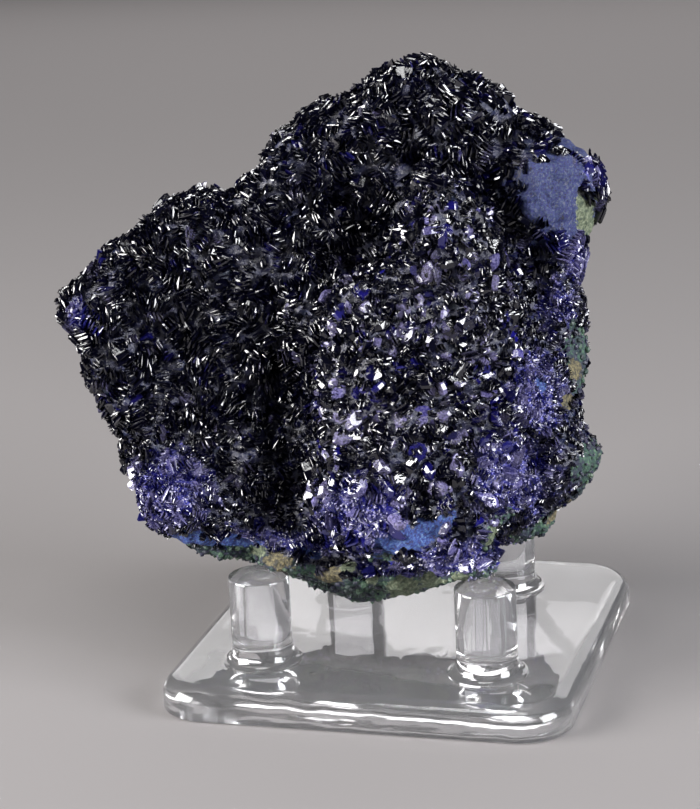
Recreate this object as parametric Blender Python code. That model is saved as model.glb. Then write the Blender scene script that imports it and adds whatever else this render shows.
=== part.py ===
"""Azurite and malachite specimen resting on a clear peg stand. Metres, +Z up.

The origin is the middle of the plate's underside. X runs along the plate's front edge and Y to its back.
The stone is modelled in a frame of its own, x to the right of its crystal face, y into the stone and z up
that face, and is then turned and leant back on the pegs.
"""

import math
import random

import bmesh
import bpy
import numpy as np
from mathutils import Euler, Matrix, Vector, noise
from mathutils.bvhtree import BVHTree

MM = 0.001

# Stand
PLATE_SIDE = 88.9 * MM
PLATE_THICK = 7.15 * MM
PLATE_CORNER = 11.0 * MM
PLATE_EDGE_ROUND = 4.15 * MM
CORNER_STEPS = 7
EDGE_STEPS = 4
PEG_RADIUS = 6.5 * MM
PEG_TOP = 26.45 * MM
PEG_TOP_BEVEL = 0.5 * MM
PEG_FOOT_RADIUS = 8.5 * MM
PEG_FOOT_HEIGHT = 4.1 * MM
PEG_FOOT_RIM = 0.5 * MM
PEG_SIDES = 20
PEG_PLACES = {
    "peg_front_left": (-24.7 * MM, -25.4 * MM),
    "peg_front_right": (24.7 * MM, -25.4 * MM),
    "peg_back_left": (-18.1 * MM, 24.4 * MM),
    "peg_back_right": (18.1 * MM, 24.4 * MM),
}
GAP = 0.3 * MM

# How the stone sits
STONE_TURN = math.radians(16.4)
STONE_LEAN = math.radians(17.0)
STONE_ROLL = math.radians(3.0)
RIM_DEPTH = -15.0 * MM
UNDERSIDE_FRONT = (-14.0 * MM, 13.0 * MM)
UNDERSIDE_BACK = (24.0 * MM, 26.2 * MM)

# Widest outline of the stone across its crystal face (x, z), in mm, clockwise from the left tip
OUTLINE = (
    (-76, 79), (-70, 85), (-64, 89), (-56, 96), (-52, 100), (-43, 103), (-40, 101.5), (-33, 105),
    (-29, 114), (-22, 120.5), (-16, 121), (-5, 128), (5, 131.5), (12, 127.5), (20, 124), (25, 118),
    (36, 112.5), (42, 108.5), (44.5, 101), (40.5, 92), (38, 83), (39.5, 73), (39, 60), (38, 52),
    (43, 45), (41, 38), (35.5, 32.5), (31.5, 26), (26, 24), (19.5, 24), (16, 18), (8.5, 16),
    (2, 11.5), (-12, 11.5), (-22, 15), (-29, 19.5), (-42, 21.5), (-50, 24.5), (-56, 28), (-60, 38),
    (-64, 48), (-69, 56), (-72, 68), (-75, 74),
)
OUTLINE_INSET = 0.9
GRID_STEP = 1.8
FRONT_ROUND = 9.0
BACK_ROUND = 18.0
FRONT_THICK = 10.0
THINNEST_FRONT = -7.0
BACK_THICK_LOW = 43.0
BACK_THICK_HIGH = 14.0

# The lobe that stands forward on the face, with a cliff along its left side (x, z), in mm
LOBE = (
    (3.5, 102), (-3, 87), (-12, 80.5), (-17, 79), (-19, 68), (-19, 55), (-20.5, 39), (-16.5, 28),
    (-10, 22), (6, 20), (13, 17.5), (18, 24), (22, 39), (24, 50), (24, 70), (22, 85), (17, 96), (9, 103),
)
LOBE_CLIFF = (10.0, 3.5)
LOBE_CROWN = (5.5, 20.0)

# Lobes and hollows of the face: x, z, half width, half height, turn in degrees, rise, width of the slope
FACE_RELIEF = (
    ("ridge to the top", 5, 95, 6, 20, -6, 4.0, 0.80),
    ("left field dish", -44, 62, 26, 34, 20, -4.0, 0.95),
    ("groove beside the lobe", -26, 50, 8, 36, 4, -6.0, 0.90),
    ("lower left swell", -46, 34, 17, 12, 15, 4.0, 0.90),
    ("deep hollow", -8, 92, 11, 15, 25, -9.0, 0.95),
    ("hollow's left arm", -17, 98, 12, 7, 10, -4.0, 0.95),
    ("small hollow", 19, 104, 6, 7, 0, -8.0, 0.80),
    ("top lobe", 0, 119, 24, 13, 8, 3.5, 0.80),
    ("right flange", 32, 99, 12, 12, 10, 5.0, 0.35),
    ("right groove", 28, 76, 5, 18, 5, -5.0, 0.90),
    ("right foot", 34, 44, 9, 14, 0, 3.0, 0.80),
    ("dark pocket", 29, 34, 5, 5, 0, -6.0, 0.90),
    ("bottom ledge", -8, 18, 24, 6, 0, 3.0, 0.90),
)

# Lumps of the broken back, in the same form
BACK_RELIEF = (
    ("heel", 2, 44, 32, 20, 0, 3.0, 0.35),
    ("upper shelf", 16, 94, 22, 20, -20, 5.0, 0.25),
    ("left shelf", -42, 68, 22, 17, 25, 5.0, 0.25),
    ("broken dip", -14, 76, 15, 19, 30, -6.0, 0.45),
    ("high step", -6, 112, 16, 10, 15, -4.0, 0.30),
    ("right ledge", 26, 64, 12, 16, -10, 4.0, 0.25),
    ("low step", -34, 38, 16, 9, -15, -4.0, 0.30),
    ("knob", -2, 58, 10, 8, 40, 4.0, 0.40),
)

# Flattened lumps that bear on the pegs: place along x and y from the peg's middle, radius
SEATS = {
    "peg_front_left": (5.0 * MM, 5.2 * MM, 6.5 * MM),
    "peg_front_right": (-4.4 * MM, 5.2 * MM, 6.5 * MM),
    "peg_back_left": (0.0, -3.0 * MM, 10.0 * MM),
    "peg_back_right": (-1.0 * MM, -3.0 * MM, 10.0 * MM),
}
SEAT_RISE = 2.4 * MM
SEAT_FLATNESS = 0.7

# Surface of the stone
VOXEL = 1.5 * MM
STONE_FACES = 1800
ROUGHNESS_LAYERS = (
    (14.0 * MM, 1.2 * MM, "PERLIN_ORIGINAL"),
    (9.0 * MM, 1.6 * MM, "VORONOI_F1"),
    (5.0 * MM, 0.6 * MM, "PERLIN_ORIGINAL"),
)

# Blades fused to the face, by zone: x, z, half width, half height, count, length, spacing, spread of lean
CRYSTAL_ZONES = (
    ("front lobe", 2, 52, 23, 40, 78, 7.5 * MM, 4.4 * MM, 0.9),
    ("top lobe", 0, 110, 36, 20, 50, 6.5 * MM, 4.4 * MM, 0.7),
    ("left field", -46, 62, 32, 40, 90, 6.2 * MM, 4.6 * MM, 0.5),
    ("right side", 32, 74, 12, 36, 16, 5.0 * MM, 5.0 * MM, 0.5),
)
CLEAR_OF_RIM = 3.0
LENGTH_SPREAD = (0.75, 1.2)
FAN_SIZE = 22.0 * MM
FAN_TURN = math.radians(430)
FAN_DIP = 0.2
TRIES_PER_BLADE = 40
AIM_FROM = -200.0 * MM

# One blade, as shares of its length; its edge runs from and to these shares of the length
BLADE_WIDTH = 0.72
BLADE_THICK = 0.26
BLADE_SINK = 0.18
BLADE_EDGE = (0.16, 0.42)
BLADE_SKEW = 0.8
SEED = 29


def clear_scene():
    for item in list(bpy.data.objects):
        bpy.data.objects.remove(item, do_unlink=True)


def material(name, colour, roughness, transmission=0.0, ior=1.5):
    made = bpy.data.materials.new(name)
    made.use_nodes = True
    shader = made.node_tree.nodes["Principled BSDF"]
    shader.inputs["Base Color"].default_value = (*colour, 1.0)
    shader.inputs["Roughness"].default_value = roughness
    shader.inputs["Metallic"].default_value = 0.0
    shader.inputs["Transmission Weight"].default_value = transmission
    shader.inputs["IOR"].default_value = ior
    made.diffuse_color = (*colour, 1.0)
    return made


def add_object(name, bm, finish=None):
    mesh = bpy.data.meshes.new(name)
    bm.to_mesh(mesh)
    bm.free()
    made = bpy.data.objects.new(name, mesh)
    bpy.context.scene.collection.objects.link(made)
    if finish:
        mesh.materials.append(finish)
    return made


def settled_mesh(item):
    """The object's mesh with its modifiers worked out."""
    bpy.context.view_layer.update()
    graph = bpy.context.evaluated_depsgraph_get()
    return bpy.data.meshes.new_from_object(item.evaluated_get(graph), depsgraph=graph)


def plate(finish):
    bm = bmesh.new()
    bmesh.ops.create_cube(bm, size=1.0)
    bmesh.ops.scale(bm, vec=(PLATE_SIDE, PLATE_SIDE, PLATE_THICK), verts=bm.verts)
    bmesh.ops.translate(bm, vec=(0, 0, PLATE_THICK / 2), verts=bm.verts)
    upright = [e for e in bm.edges if abs(e.verts[0].co.z - e.verts[1].co.z) > PLATE_THICK / 2]
    bmesh.ops.bevel(bm, geom=upright, offset=PLATE_CORNER, segments=CORNER_STEPS, profile=0.5, affect="EDGES")
    upper = [e for e in bm.edges if min(v.co.z for v in e.verts) > PLATE_THICK * 0.99]
    bmesh.ops.bevel(bm, geom=upper, offset=PLATE_EDGE_ROUND, segments=EDGE_STEPS, profile=0.5, affect="EDGES")
    made = add_object("stand_plate", bm, finish)
    made.data.shade_smooth()
    made.data.set_sharp_from_angle(angle=math.radians(35))
    return made


def peg_profile():
    """Radius and height up one side of a peg: flared foot, straight rod, softened top."""
    foot = PLATE_THICK + GAP
    points = [(PEG_FOOT_RADIUS, foot), (PEG_FOOT_RADIUS, foot + PEG_FOOT_RIM)]
    flare = PEG_FOOT_RADIUS - PEG_RADIUS
    rise = PEG_FOOT_HEIGHT - PEG_FOOT_RIM
    for angle in (math.radians(30), math.radians(60), math.radians(90)):
        height = foot + PEG_FOOT_RIM + rise * (1 - math.cos(angle))
        points.append((PEG_FOOT_RADIUS - flare * math.sin(angle), height))
    points.append((PEG_RADIUS, PEG_TOP - PEG_TOP_BEVEL))
    points.append((PEG_RADIUS - PEG_TOP_BEVEL, PEG_TOP))
    return points


def peg(name, place, finish):
    bm = bmesh.new()
    rings = []
    for radius, height in peg_profile():
        ring = bmesh.ops.create_circle(bm, segments=PEG_SIDES, radius=radius)["verts"]
        bmesh.ops.translate(bm, vec=(0, 0, height), verts=ring)
        rings.append(ring)
    for lower, upper in zip(rings, rings[1:]):
        for i in range(PEG_SIDES):
            j = (i + 1) % PEG_SIDES
            bm.faces.new((lower[i], lower[j], upper[j], upper[i]))
    bm.faces.new(list(reversed(rings[0])))
    bm.faces.new(rings[-1])
    bmesh.ops.recalc_face_normals(bm, faces=bm.faces)
    made = add_object(name, bm, finish)
    made.location = (*place, 0)
    made.data.shade_smooth()
    made.data.set_sharp_from_angle(angle=math.radians(40))
    return made


def outline_points():
    """The outline as an array in mm, drawn in a little so that crystals end on it."""
    points = np.array(OUTLINE, float)
    ahead = np.roll(points, -1, axis=0) - np.roll(points, 1, axis=0)
    inward = np.stack([ahead[:, 1], -ahead[:, 0]], axis=1)
    inward /= np.linalg.norm(inward, axis=1)[:, None]
    return points + inward * OUTLINE_INSET


def nearest_on_outline(places, outline):
    """For each place its nearest point on the outline, the distance to it, and whether it is inside."""
    best = np.full(len(places), np.inf)
    nearest = np.zeros_like(places)
    inside = np.zeros(len(places), bool)
    for a, b in zip(outline, np.roll(outline, -1, axis=0)):
        side = b - a
        along = np.clip((places - a) @ side / (side @ side), 0, 1)
        spot = a + along[:, None] * side
        gap = np.linalg.norm(places - spot, axis=1)
        closer = gap < best
        best[closer] = gap[closer]
        nearest[closer] = spot[closer]
        spans = (a[1] > places[:, 1]) != (b[1] > places[:, 1])
        with np.errstate(divide="ignore", invalid="ignore"):
            crossing = a[0] + (places[:, 1] - a[1]) * side[0] / side[1]
        inside ^= spans & (places[:, 0] < crossing)
    return nearest, best, inside


def relief(places, lumps):
    """Sum of flat-topped mounds and hollows at each place, in mm."""
    total = np.zeros(len(places))
    for _, x, z, half_x, half_z, turn, rise, slope in lumps:
        c, s = math.cos(math.radians(turn)), math.sin(math.radians(turn))
        dx, dz = places[:, 0] - x, places[:, 1] - z
        reach = np.hypot((c * dx + s * dz) / half_x, (c * dz - s * dx) / half_z)
        climb = np.clip((1 - reach) / slope, 0, 1)
        total += rise * climb * climb * (3 - 2 * climb)
    return total


def rounded(inset, radius):
    return np.sqrt(1 - (1 - np.clip(inset / radius, 0, 1)) ** 2)


def lobe_rise(places):
    """How far the forward lobe stands out at each place, in mm: a cliff and then a gentle crown."""
    _, inset, inside = nearest_on_outline(places, np.array(LOBE, float))
    (cliff, cliff_width), (crown, crown_width) = LOBE_CLIFF, LOBE_CROWN
    return inside * (cliff * rounded(inset, cliff_width) + crown * rounded(inset, crown_width))


def stone_depths(places, inset):
    """Depth of the face and of the back at each place, in mm."""
    rim = RIM_DEPTH / MM
    thick = np.maximum(FRONT_THICK + relief(places, FACE_RELIEF) + lobe_rise(places), THINNEST_FRONT)
    low, high = min(z for _, z in OUTLINE), max(z for _, z in OUTLINE)
    height = (places[:, 1] - low) / (high - low)
    behind = BACK_THICK_LOW + (BACK_THICK_HIGH - BACK_THICK_LOW) * height + relief(places, BACK_RELIEF)
    return rim - rounded(inset, FRONT_ROUND) * thick, rim + rounded(inset, BACK_ROUND) * behind


def stone_shell():
    """Closed shell of the stone: a face and a back over one grid, meeting along the rim."""
    outline = outline_points()
    low, high = outline.min(axis=0) - GRID_STEP, outline.max(axis=0) + 2 * GRID_STEP
    xs, zs = np.arange(low[0], high[0], GRID_STEP), np.arange(low[1], high[1], GRID_STEP)
    places = np.array([(x, z) for z in zs for x in xs])
    nearest, inset, inside = nearest_on_outline(places, outline)
    places[~inside] = nearest[~inside]
    inset[~inside] = 0
    face, back = stone_depths(places, inset)
    bm = bmesh.new()
    front_verts, back_verts = {}, {}

    def corner(index, depth, found):
        if index not in found:
            found[index] = bm.verts.new((places[index][0] * MM, depth[index] * MM, places[index][1] * MM))
            if not inside[index]:
                front_verts[index] = back_verts[index] = found[index]
        return found[index]

    for row in range(len(zs) - 1):
        for column in range(len(xs) - 1):
            first = row * len(xs) + column
            cell = (first, first + 1, first + 1 + len(xs), first + len(xs))
            if any(inside[i] for i in cell):
                bm.faces.new([corner(i, face, front_verts) for i in cell])
                bm.faces.new([corner(i, back, back_verts) for i in reversed(cell)])
    return bm


def stone_matrix():
    return Euler((-STONE_LEAN, STONE_ROLL, STONE_TURN), "YXZ").to_matrix().to_4x4()


def trim_underside(bm, placing):
    """Cuts the stone off along a slope that clears the plate and meets the back pegs."""
    (y0, z0), (y1, z1) = UNDERSIDE_FRONT, UNDERSIDE_BACK
    inverse = placing.inverted()
    point = inverse @ Vector((0, y0, z0))
    down = inverse.to_3x3() @ Vector((0, z1 - z0, y0 - y1)).normalized()
    geometry = bm.verts[:] + bm.edges[:] + bm.faces[:]
    bmesh.ops.bisect_plane(bm, geom=geometry, plane_co=point, plane_no=down, clear_outer=True)
    bmesh.ops.holes_fill(bm, edges=[e for e in bm.edges if e.is_boundary])


def add_seats(bm, placing):
    """Lumps above the pegs, one each, so that the stone bears on all four."""
    for name, (dx, dy, radius) in SEATS.items():
        x, y = PEG_PLACES[name]
        middle = Matrix.Translation((x + dx, y + dy, PEG_TOP + SEAT_RISE))
        place = placing.inverted() @ middle @ Matrix.Diagonal((1, 1, SEAT_FLATNESS, 1))
        bmesh.ops.create_icosphere(bm, subdivisions=2, radius=radius, matrix=place)


def weathered(mesh):
    """Pushes the surface in and out by layers of smooth noise."""
    for vertex in mesh.vertices:
        push = 0.0
        for scale, height, kind in ROUGHNESS_LAYERS:
            push += height * noise.noise(vertex.co / scale, noise_basis=kind)
        vertex.co += vertex.normal * push


def stone_body(placing):
    bm = stone_shell()
    trim_underside(bm, placing)
    add_seats(bm, placing)
    rough = add_object("stone_rough", bm)
    remesh = rough.modifiers.new("One skin", "REMESH")
    remesh.mode = "VOXEL"
    remesh.voxel_size = VOXEL
    skin = settled_mesh(rough)
    rough.modifiers.clear()
    rough.data = skin
    weathered(skin)
    thin = rough.modifiers.new("Flat facets", "DECIMATE")
    thin.ratio = STONE_FACES / sum(len(p.vertices) - 2 for p in skin.polygons)
    body = settled_mesh(rough)
    bpy.data.objects.remove(rough)
    return body


def blade(bm, middle, along, out, length, rng):
    """One wedge-shaped crystal: a rectangle sunk in the stone that narrows outwards to a chisel edge."""
    half_width, half_thick = length * BLADE_WIDTH / 2, length * BLADE_THICK / 2
    across = along.cross(out).normalized()
    foot = middle - out * half_width
    corners = [
        bm.verts.new(foot + along * (a * length / 2) + across * (b * half_thick))
        for a, b in ((-1, -1), (1, -1), (1, 1), (-1, 1))
    ]
    lean = across * (rng.uniform(-BLADE_SKEW, BLADE_SKEW) * half_thick)
    edge = [
        bm.verts.new(middle + out * half_width + lean + along * (a * length * rng.uniform(*BLADE_EDGE)))
        for a in (-1, 1)
    ]
    back_left, back_right, front_right, front_left = corners
    left, right = edge
    bm.faces.new((front_left, front_right, back_right, back_left))
    bm.faces.new((back_left, back_right, right, left))
    bm.faces.new((front_right, front_left, left, right))
    bm.faces.new((back_right, front_right, right))
    bm.faces.new((front_left, back_left, left))


def in_zone(place, zone):
    _, x, z, half_x, half_z = zone[:5]
    return ((place.x / MM - x) / half_x) ** 2 + ((place.z / MM - z) / half_z) ** 2 < 1


def crystals(body):
    """Blades over the face, in fans whose direction drifts slowly across it."""
    rng = random.Random(SEED)
    outline = outline_points()
    tree = BVHTree.FromPolygons([v.co for v in body.vertices], [p.vertices for p in body.polygons])
    bm = bmesh.new()
    taken = []
    for zone in CRYSTAL_ZONES:
        _, x, z, half_x, half_z, count, size, spacing, spread = zone
        placed = 0
        for _ in range(count * TRIES_PER_BLADE):
            if placed == count:
                break
            aim_x, aim_z = x + rng.uniform(-half_x, half_x), z + rng.uniform(-half_z, half_z)
            aim = Vector((aim_x * MM, AIM_FROM, aim_z * MM))
            spot, normal, _, _ = tree.ray_cast(aim, Vector((0, 1, 0)))
            if spot is None or not in_zone(spot, zone) or any((spot - t).length < spacing for t in taken):
                continue
            _, inset, inside = nearest_on_outline(np.array([[spot.x, spot.z]]) / MM, outline)
            if not inside[0] or inset[0] < CLEAR_OF_RIM:
                continue
            swirl = noise.noise(spot / FAN_SIZE) * FAN_TURN
            out = (normal + Vector([rng.uniform(-spread, spread) for _ in range(3)])).normalized()
            along = Vector((math.cos(swirl), FAN_DIP, math.sin(swirl)))
            along = (along - out * along.dot(out)).normalized()
            length = size * rng.uniform(*LENGTH_SPREAD)
            blade(bm, spot + out * (length * BLADE_SINK), along, out, length, rng)
            taken.append(spot)
            placed += 1
    return bm


def peg_room(name, place):
    """Cutter that keeps the stone a hair clear of one peg."""
    bm = bmesh.new()
    height = PEG_TOP + GAP
    bmesh.ops.create_cone(bm, cap_ends=True, segments=PEG_SIDES, radius1=PEG_RADIUS + 2 * GAP,
                          radius2=PEG_RADIUS + 2 * GAP, depth=height)
    made = add_object("room_for_" + name, bm)
    made.location = (*place, height / 2)
    made.hide_render = True
    made.display_type = "WIRE"
    return made


def join_with(item, other, operation, self_crossing=False):
    cut = item.modifiers.new(operation.title(), "BOOLEAN")
    cut.operation = operation
    cut.object = other
    cut.solver = "EXACT"
    cut.use_self = self_crossing


def specimen(finish):
    placing = stone_matrix()
    body = stone_body(placing)
    crust = add_object("crystal_blades", crystals(body))
    crust.hide_render = True
    crust.display_type = "WIRE"
    stone = bpy.data.objects.new("specimen", body)
    bpy.context.scene.collection.objects.link(stone)
    stone.data.materials.append(finish)
    join_with(stone, crust, "UNION", self_crossing=True)
    whole = settled_mesh(stone)
    stone.modifiers.clear()
    stone.data = whole
    bpy.data.objects.remove(crust)
    whole.transform(placing)
    for name, place in PEG_PLACES.items():
        join_with(stone, peg_room(name, place), "DIFFERENCE")
    return stone


def build():
    clear_scene()
    acrylic = material("clear acrylic", (0.96, 0.97, 0.98), 0.03, transmission=1.0, ior=1.49)
    azurite = material("azurite on malachite", (0.012, 0.012, 0.06), 0.22)
    plate(acrylic)
    for name, place in PEG_PLACES.items():
        peg(name, place, acrylic)
    specimen(azurite)


build()
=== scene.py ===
import math
import random

import bpy
import numpy as np
from mathutils import Euler, Matrix, Vector, noise
from mathutils.bvhtree import BVHTree


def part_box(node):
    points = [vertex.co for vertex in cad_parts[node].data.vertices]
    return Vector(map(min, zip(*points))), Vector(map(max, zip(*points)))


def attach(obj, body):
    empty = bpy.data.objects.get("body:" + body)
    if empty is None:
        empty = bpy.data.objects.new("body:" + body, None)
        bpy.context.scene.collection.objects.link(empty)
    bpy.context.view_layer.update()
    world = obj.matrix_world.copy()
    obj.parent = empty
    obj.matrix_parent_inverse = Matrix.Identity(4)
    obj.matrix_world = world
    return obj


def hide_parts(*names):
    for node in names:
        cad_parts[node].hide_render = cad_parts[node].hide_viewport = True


mm = 0.001

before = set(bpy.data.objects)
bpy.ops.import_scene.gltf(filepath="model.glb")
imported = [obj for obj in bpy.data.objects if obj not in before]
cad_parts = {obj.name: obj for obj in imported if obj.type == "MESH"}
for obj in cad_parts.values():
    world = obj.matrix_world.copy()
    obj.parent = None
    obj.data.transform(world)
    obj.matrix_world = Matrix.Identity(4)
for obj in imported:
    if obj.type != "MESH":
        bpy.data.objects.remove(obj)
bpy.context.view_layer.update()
stoneBox = [np.array(corner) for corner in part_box("specimen")]
print("frame loaded")


# small helpers for working as by hand


def deselectAll():
    if bpy.context.mode != "OBJECT":
        bpy.ops.object.mode_set(mode="OBJECT")
    bpy.ops.object.select_all(action="DESELECT")


def pick(piece):
    deselectAll()
    piece.select_set(True)
    bpy.context.view_layer.objects.active = piece


def added(name):
    piece = bpy.context.active_object
    piece.name = name
    piece.data.name = name
    return piece


def selectParts(piece, kind, wanted):
    # kind is VERT, EDGE or FACE; wanted says which of them by their middle and direction
    pick(piece)
    mesh = piece.data
    bpy.ops.object.mode_set(mode="EDIT")
    bpy.ops.mesh.select_mode(type=kind)
    bpy.ops.mesh.select_all(action="DESELECT")
    bpy.ops.object.mode_set(mode="OBJECT")
    if kind == "FACE":
        for face in mesh.polygons:
            face.select = wanted(face.center, face.normal)
    elif kind == "EDGE":
        for edge in mesh.edges:
            a, b = (mesh.vertices[i].co for i in edge.vertices)
            edge.select = wanted((a + b) / 2, (b - a).normalized())
    else:
        for vertex in mesh.vertices:
            vertex.select = wanted(vertex.co, vertex.normal)
    bpy.ops.object.mode_set(mode="EDIT")


def modify(piece, kind, **settings):
    pick(piece)
    modifier = piece.modifiers.new(kind.title(), kind)
    for key, value in settings.items():
        setattr(modifier, key, value)
    bpy.ops.object.modifier_apply(modifier=modifier.name)


def settle(piece):
    # the place goes into the mesh and the object to the origin
    pick(piece)
    bpy.ops.object.transform_apply(location=True, rotation=True, scale=True)


def readVectors(items, key):
    found = np.zeros(len(items) * 3)
    items.foreach_get(key, found)
    return found.reshape(-1, 3)


def addValues(mesh, name, values):
    attribute = mesh.attributes.new(name, "FLOAT", "POINT")
    attribute.data.foreach_set("value", np.asarray(values, np.float32))


# shader building


class Wire:
    # a socket that can be used in sums
    def __init__(self, tree, socket):
        self.tree = tree
        self.socket = socket

    def join(self, operation, first, second=0.0):
        node = self.tree.nodes.new("ShaderNodeMath")
        node.operation = operation
        for slot, value in zip(node.inputs, (first, second)):
            if isinstance(value, Wire):
                self.tree.links.new(value.socket, slot)
            else:
                slot.default_value = value
        return Wire(self.tree, node.outputs[0])

    def __add__(self, other):
        return self.join("ADD", self, other)

    def __radd__(self, other):
        return self.join("ADD", other, self)

    def __sub__(self, other):
        return self.join("SUBTRACT", self, other)

    def __rsub__(self, other):
        return self.join("SUBTRACT", other, self)

    def __mul__(self, other):
        return self.join("MULTIPLY", self, other)

    def __rmul__(self, other):
        return self.join("MULTIPLY", other, self)

    def clamped(self):
        low = self.join("MAXIMUM", self, 0.0)
        return self.join("MINIMUM", low, 1.0)


class Finish:
    # a Principled material with one way of adding any node
    def __init__(self, name, constants):
        self.material = bpy.data.materials.new(name)
        self.material.use_nodes = True
        self.tree = self.material.node_tree
        self.shader = self.tree.nodes["Principled BSDF"]
        for socket, value in constants.items():
            self.shader.inputs[socket].default_value = value

    def node(self, kind, settings, inputs, output=0):
        node = self.tree.nodes.new("ShaderNode" + kind)
        for key, value in settings.items():
            if key == "stops":
                self.setStops(node.color_ramp, value)
            else:
                setattr(node, key, value)
        for key, value in inputs.items():
            if isinstance(value, Wire):
                self.tree.links.new(value.socket, node.inputs[key])
            else:
                node.inputs[key].default_value = value
        return Wire(self.tree, node.outputs[output])

    def setStops(self, ramp, stops):
        while len(ramp.elements) < len(stops):
            ramp.elements.new(1.0)
        for element, (position, colour) in zip(ramp.elements, stops):
            element.position = position
            element.color = (*colour, 1.0)

    def place(self):
        return self.node("TexCoord", {}, {}, "Object")

    def value(self, attribute):
        return self.node("Attribute", {"attribute_name": attribute}, {}, "Fac")

    def noise(self, size, detail=3.0, roughness=0.55, stretch=None):
        spot = self.place()
        if stretch:
            inputs = {"Vector": spot, "Rotation": stretch[0], "Scale": stretch[1]}
            spot = self.node("Mapping", {"vector_type": "TEXTURE"}, inputs)
        inputs = {"Vector": spot, "Scale": 1 / size, "Detail": detail, "Roughness": roughness}
        return self.node("TexNoise", {}, inputs, "Fac")

    def cells(self, size):
        return self.node("TexVoronoi", {}, {"Vector": self.place(), "Scale": 1 / size}, "Distance")

    def ramp(self, factor, stops):
        return self.node("ValToRGB", {"stops": stops}, {"Fac": factor}, "Color")

    def mix(self, factor, first, second):
        inputs = {0: factor, 6: self.colour(first), 7: self.colour(second)}
        return self.node("Mix", {"data_type": "RGBA"}, inputs, 2)

    def colour(self, value):
        return value if isinstance(value, Wire) else (*value, 1.0)

    def bump(self, height, distance, strength=1.0):
        inputs = {"Height": height, "Distance": distance, "Strength": strength}
        return self.node("Bump", {}, inputs, "Normal")

    def feed(self, **wires):
        for socket, wire in wires.items():
            self.tree.links.new(wire.socket, self.shader.inputs[socket.replace("_", " ")])
        return self.material


# where things are on the stone: u to the right over its face, v up its face, w into the stone

# the face is leaned back, rolled and turned by these degrees
leanBack, rolled, turned = (math.radians(angle) for angle in (17, 3, 16.4))
facing = np.array(Euler((-leanBack, rolled, turned), "YXZ").to_matrix())

lobeEdge = np.array([
    (3.5, 102), (-3, 87), (-12, 80.5), (-17, 79), (-19, 68), (-19, 55), (-20.5, 39), (-16.5, 28), (-10, 22),
    (6, 20), (13, 17.5), (18, 24), (22, 39), (24, 50), (24, 70), (22, 85), (17, 96), (9, 103),
])

# below this line the crystals give way to the green matrix
matrixLine = np.array([
    (-80, 30), (-56, 27.5), (-45, 24.5), (-30, 23.5), (-22, 21), (-14, 18.5), (-2, 19), (7, 19.5),
    (16, 22), (21, 25), (33, 33), (42, 42), (60, 60),
])

# patches of the surface: u, v, half width, half height, turn in degrees
patches = {
    "velvet": [
        (31.4, 98.6, 10.2, 10.0, 0),
        (35.3, 109.6, 5.4, 2.5, -30),
    ],
    "strip": [
        (0.6, 27.2, 10.4, 3.1, 22),
        (-41.0, 26.0, 9.5, 1.6, -5),
        (-48.5, 26.4, 4.2, 2.0, 12),
        (-19.5, 22.6, 3.2, 0.9, -20),
        (28.4, 59.0, 1.5, 1.6, 0),
    ],
    "malachite": [
        (39.0, 92.5, 2.0, 5.0, 12),
        (36.8, 65.0, 3.0, 7.6, 0),
        (39.5, 41.5, 4.5, 5.5, -30),
        (20.0, 31.0, 2.3, 2.1, 0),
        (17.2, 26.6, 2.0, 3.4, -30),
        (-4.9, 23.5, 4.0, 1.7, 8),
        (5.7, 16.6, 3.4, 2.8, 0),
        (28.0, 26.5, 3.0, 2.0, 30),
        (-36.0, 23.5, 8.5, 1.8, -4),
    ],
    "sage": [
        (-1.0, 15.6, 3.9, 3.4, -20),
        (38.1, 95.0, 2.3, 5.0, 12),
        (-7.9, 18.4, 2.6, 2.0, 0),
        (5.2, 17.2, 2.6, 2.2, 0),
        (-12.6, 20.4, 1.8, 1.4, 20),
        (10.6, 19.0, 1.8, 1.3, 0),
        (-31.5, 23.4, 2.2, 1.2, 0),
        (17.6, 27.2, 1.5, 3.0, -25),
    ],
    "ochre": [
        (-27.6, 21.6, 3.6, 2.2, -20),
        (-16.2, 18.4, 3.6, 1.9, -10),
        (34.3, 55.3, 1.7, 1.8, 0),
        (33.0, 31.5, 4.5, 1.2, 38),
        (36.0, 62.0, 1.6, 2.6, 10),
        (-3.0, 22.6, 1.0, 0.8, 0),
        (18.0, 25.5, 1.0, 1.4, 0),
    ],
    "druse": [
        (-51.5, 36.0, 9.8, 9.2, 20),
        (-70.5, 74.5, 2.8, 3.2, 0),
        (-10.2, 31.5, 9.6, 8.0, 0),
        (31.8, 76.0, 4.0, 6.0, 0),
        (27.5, 57.0, 6.2, 9.6, 0),
        (22.5, 39.5, 9.6, 8.8, 30),
        (8.0, 22.0, 16.0, 4.4, 6),
        (-26.0, 25.5, 12.0, 2.2, -12),
        (33.0, 89.5, 8.0, 3.0, -10),
        (36.0, 85.0, 3.5, 5.0, 0),
        (38.0, 104.0, 3.5, 5.0, 20),
    ],
    # the hole is sunk into the skin, and its colour is painted near-black shade
    "hole": [
        (37.8, 99.8, 1.5, 1.3, 0),
    ],
}


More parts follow.
